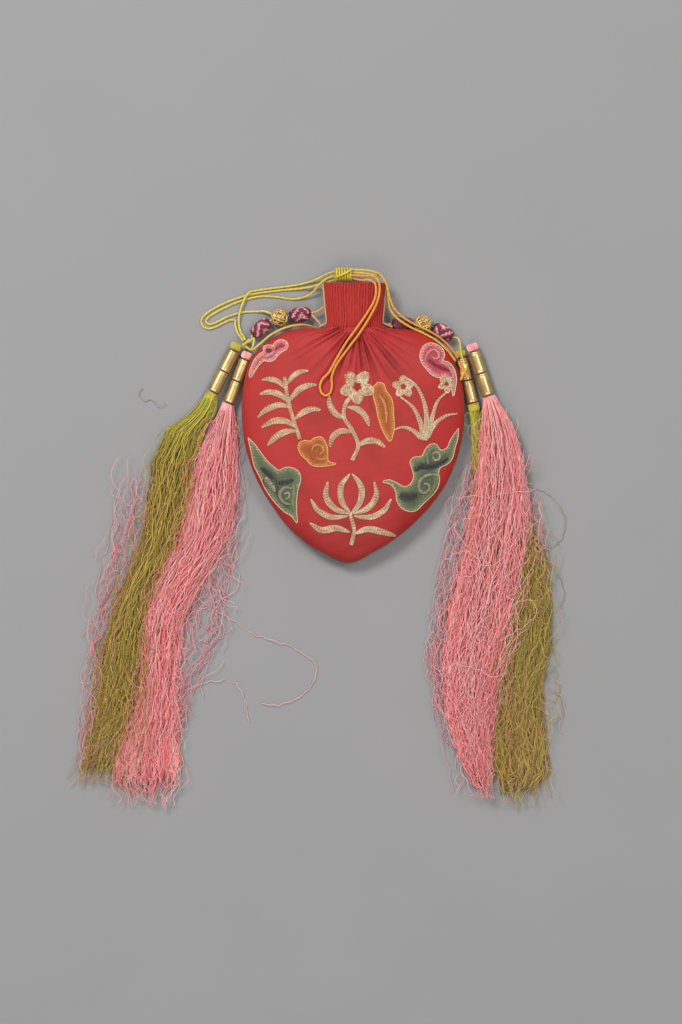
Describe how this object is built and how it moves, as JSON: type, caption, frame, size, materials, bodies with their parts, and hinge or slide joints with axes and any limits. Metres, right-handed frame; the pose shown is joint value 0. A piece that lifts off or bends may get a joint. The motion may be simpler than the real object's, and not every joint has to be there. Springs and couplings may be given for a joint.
{
  "type": "chinese embroidered purse",
  "caption": "Heart-shaped silk drawstring purse with a pleated neck, cords, bead strings and long silk tassels, lying on its back.",
  "frame": {"origin": "on the flat of the back, below the middle of the heart-shaped bag, on the surface that the purse lies on", "axes": "+X to the wearer's view right, +Y from the tip towards the pleated neck, +Z from the back to the embroidered front"},
  "size_m": [0.2084, 0.2403, 0.0193],
  "materials": {
    "red_silk": "plain woven silk, soft sheen",
    "cream_piping": "twisted silk piping",
    "yellow_cord": "twisted silk cord",
    "gold_thread": "couched metal-wrapped thread",
    "coloured_embroidery": "satin-stitched silk",
    "maroon_wrapping": "beads wrapped in silk thread",
    "pink_silk": "loose crinkled silk",
    "green_silk": "loose crinkled silk",
    "ferrule_brass": "worn gilt winding, soft gloss"
  },
  "bodies": {
    "root": {"front_panel": "red_silk", "back_panel": "red_silk", "pleated_neck": "red_silk", "neck_piping_left": "cream_piping", "neck_piping_right": "cream_piping", "top_knot": "yellow_cord", "left_tassel_knot": "yellow_cord", "right_tassel_knot": "yellow_cord", "cord_left_outer": "yellow_cord", "cord_left_inner": "yellow_cord", "cord_left_drop": "yellow_cord", "cord_left_shoulder": "yellow_cord", "cord_front_loop": "yellow_cord", "cord_right_outer": "yellow_cord", "cord_right_inner": "yellow_cord", "left_bead_inner": "maroon_wrapping", "left_bead_gold": "gold_thread", "left_bead_outer": "maroon_wrapping", "left_bead_thread": "yellow_cord", "right_bead_inner": "maroon_wrapping", "right_bead_gold": "gold_thread", "right_bead_outer": "maroon_wrapping", "right_bead_thread": "yellow_cord", "left_green_knob": "green_silk", "left_green_ferrule_upper": "ferrule_brass", "left_green_ferrule_lower": "ferrule_brass", "left_green_skirt": "green_silk", "left_pink_knob": "pink_silk", "left_pink_ferrule_upper": "ferrule_brass", "left_pink_ferrule_lower": "ferrule_brass", "left_pink_skirt": "pink_silk", "right_green_knob": "green_silk", "right_green_ferrule_upper": "ferrule_brass", "right_green_ferrule_lower": "ferrule_brass", "right_green_skirt": "green_silk", "right_pink_knob": "pink_silk", "right_pink_ferrule_upper": "ferrule_brass", "right_pink_ferrule_lower": "ferrule_brass", "right_pink_skirt": "pink_silk"}
  },
  "joints": []
}
